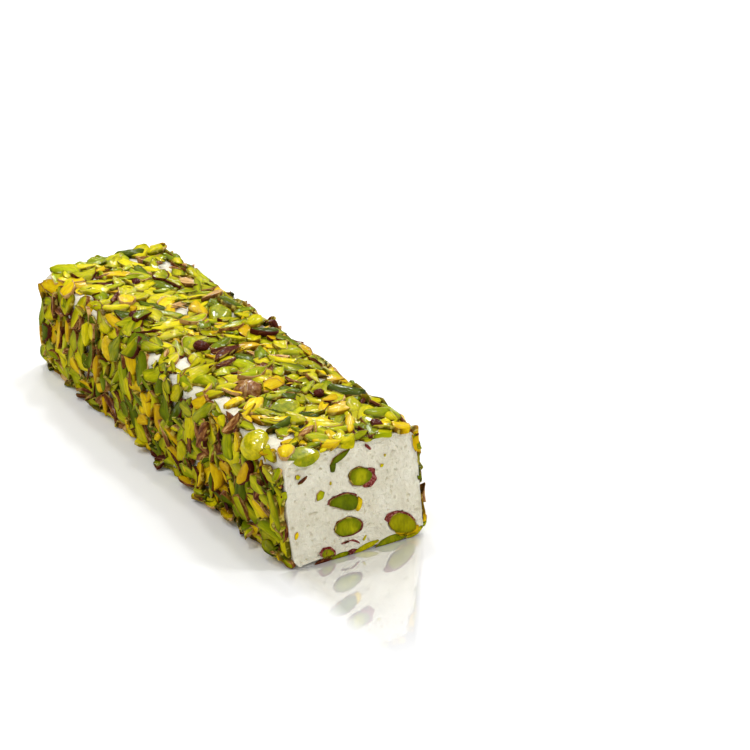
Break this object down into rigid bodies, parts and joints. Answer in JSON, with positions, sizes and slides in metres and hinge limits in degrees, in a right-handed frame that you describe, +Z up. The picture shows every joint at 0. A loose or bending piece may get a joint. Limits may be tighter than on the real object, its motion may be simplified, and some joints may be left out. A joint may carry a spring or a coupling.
{
  "type": "turkish delight roll",
  "caption": "Bar of white whipped nougat coated in slivered pistachios on its long sides and cut off square, with whole kernels showing in the cuts. Rests on its flat underside.",
  "frame": {"origin": "middle of the flat underside, on the surface that the roll rests on", "axes": "the roll lies along Y with the cut that the picture shows facing -Y; X is across it and +Z is up"},
  "size_m": [0.0613, 0.1854, 0.0442],
  "materials": {
    "nougat": "soft and finely porous",
    "pistachio_green": "satin and oily",
    "pistachio_deep": "satin and oily",
    "pistachio_lime": "glossy with syrup",
    "pistachio_yellow": "glossy with syrup",
    "pistachio_skin": "thin dry skin, wrinkled"
  },
  "bodies": {
    "root": {"nougat_roll": "nougat", "kernel_front_1": "pistachio_green", "kernel_front_2": "pistachio_deep", "kernel_front_3": "pistachio_green", "kernel_front_4": "pistachio_lime", "kernel_front_5": "pistachio_green", "kernel_back_1": "pistachio_green", "kernel_back_2": "pistachio_lime", "kernel_back_3": "pistachio_green", "kernel_back_4": "pistachio_green", "kernel_back_5": "pistachio_deep", "kernel_coat_1": "pistachio_lime", "kernel_coat_2": "pistachio_skin", "kernel_coat_3": "pistachio_green", "kernel_coat_4": "pistachio_green", "kernel_coat_5": "pistachio_green", "kernel_coat_6": "pistachio_skin", "kernel_coat_7": "pistachio_yellow"}
  },
  "joints": []
}
